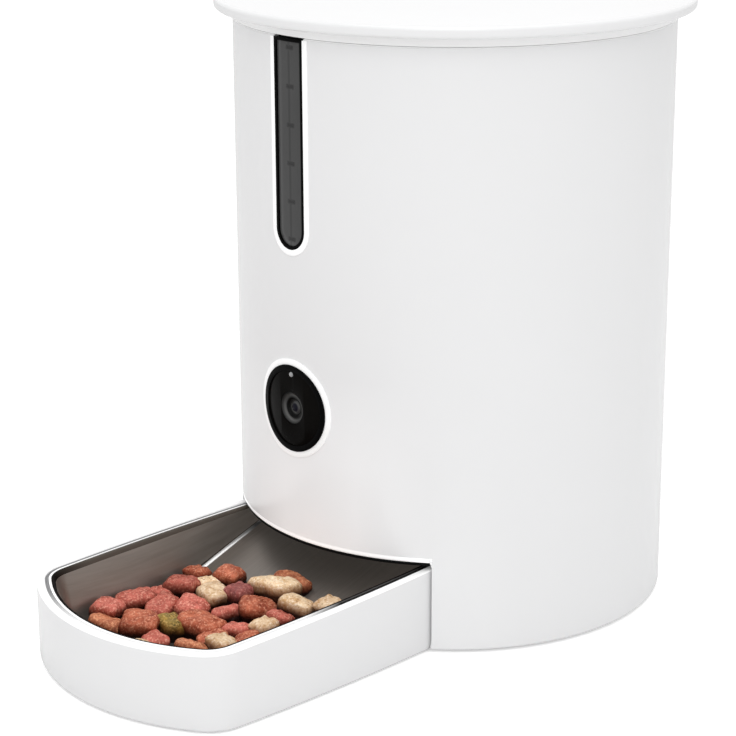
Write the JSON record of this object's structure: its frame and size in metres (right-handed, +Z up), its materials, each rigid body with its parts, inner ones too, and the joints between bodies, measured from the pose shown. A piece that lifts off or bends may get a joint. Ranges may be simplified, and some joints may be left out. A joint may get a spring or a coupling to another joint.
{
  "type": "automatic pet feeder with camera",
  "caption": "Round dry-food dispenser for pets: lidded hopper, motor-driven portion rotor, chute into a pull-out steel bowl tray, front camera and level window.",
  "frame": {"origin": "middle of the feeder's outline on the floor, between the tray's front and the lid's back", "axes": "+Z up, -Y towards the bowl and camera side, +X to the right hand of someone who looks from the front towards the back"},
  "size_m": [0.22, 0.333, 0.2828],
  "materials": {
    "white_gloss": "gloss",
    "white_satin": "satin",
    "black_gloss": "gloss",
    "black_satin": "satin",
    "smoked_window": "gloss",
    "smoked_plastic": "gloss",
    "lens_glass": "polished",
    "light_guide": "gloss",
    "circuit_board": "satin",
    "grey_plastic": "matte",
    "cable_sleeve": "matte",
    "speaker_black": "matte",
    "motor_steel": "satin",
    "bright_steel": "polished",
    "screw_steel": "satin",
    "grey_rubber": "matte",
    "clear_silicone": "satin",
    "brushed_bowl": "brushed",
    "gear_plastic": "satin",
    "brass_gear": "machined"
  },
  "bodies": {
    "housing": {"base_plate": "white_satin", "base_screws": "screw_steel", "board_screws": "screw_steel", "bracket_screws": "screw_steel", "camera_barrel": "black_satin", "camera_bezel": "black_gloss", "camera_board": "circuit_board", "camera_bracket": "grey_plastic", "camera_cable": "cable_sleeve", "camera_cover": "black_gloss", "camera_lens": "lens_glass", "deck_screws": "screw_steel", "drive_deck": "grey_plastic", "drive_motor": "motor_steel", "food_sensor": "black_satin", "gearbox_case": "grey_plastic", "gearbox_cover": "grey_plastic", "gearbox_screws": "screw_steel", "idler_pin": "bright_steel", "level_window": "smoked_window", "main_board": "circuit_board", "motor_leads": "cable_sleeve", "motor_screws": "screw_steel", "outer_housing": "white_gloss", "outlet_chute": "grey_plastic", "power_inlet": "black_satin", "reset_switch": "black_satin", "rubber_feet": "grey_rubber", "speaker": "speaker_black", "status_light_guide": "light_guide", "window_frame": "black_gloss"},
    "tray": {"bowl_tray": "white_gloss", "steel_bowl": "brushed_bowl", "tray_feet": "grey_rubber"},
    "hopper": {"food_hopper": "smoked_plastic", "rotor_chamber": "smoked_plastic", "outlet_baffle": "smoked_plastic", "wiper_flap": "clear_silicone"},
    "rotor": {"portion_rotor": "white_satin", "rotor_cap": "white_satin"},
    "lid": {"lid_shell": "white_gloss", "lid_liner": "white_satin", "lid_seal": "clear_silicone", "desiccant_box": "white_satin", "desiccant_cover": "grey_plastic"},
    "output": {"output_gear": "gear_plastic"},
    "idler": {"idler_gear": "gear_plastic"},
    "motor_shaft": {"motor_pinion": "brass_gear"},
    "button": {"reset_button": "grey_plastic"}
  },
  "joints": [
    {"name": "tray_slide", "type": "slide", "parent": "housing", "child": "tray", "axis": [0, -1, 0], "range_m": [0, 0.08]},
    {"name": "hopper_lift", "type": "slide", "parent": "housing", "child": "hopper", "axis": [0, 0, 1], "range_m": [0, 0.155]},
    {"name": "lid_lift", "type": "slide", "parent": "hopper", "child": "lid", "axis": [0, 0, 1], "range_m": [0, 0.06]},
    {"name": "rotor_spin", "type": "hinge", "parent": "hopper", "child": "rotor", "pos_m": [0, 0.0565, 0.13], "axis": [0, 0, 1], "continuous": true},
    {"name": "output_spin", "type": "hinge", "parent": "housing", "child": "output", "pos_m": [0, 0.0565, 0.12], "axis": [0, 0, 1], "continuous": true},
    {"name": "idler_spin", "type": "hinge", "parent": "housing", "child": "idler", "pos_m": [0, 0.0835, 0.115], "axis": [0, 0, 1], "continuous": true},
    {"name": "motor_spin", "type": "hinge", "parent": "housing", "child": "motor_shaft", "pos_m": [0, 0.1075, 0.11], "axis": [0, 0, 1], "continuous": true},
    {"name": "reset_button_press", "type": "slide", "parent": "housing", "child": "button", "axis": [0, -1, 0], "range_m": [0, 0.0012], "stiffness_N_per_m": 400}
  ],
  "couplings": [
    {"joint": "output_spin", "follows": "rotor_spin", "ratio": 1},
    {"joint": "idler_spin", "follows": "rotor_spin", "ratio": -3.5},
    {"joint": "motor_spin", "follows": "rotor_spin", "ratio": 10.5}
  ]
}
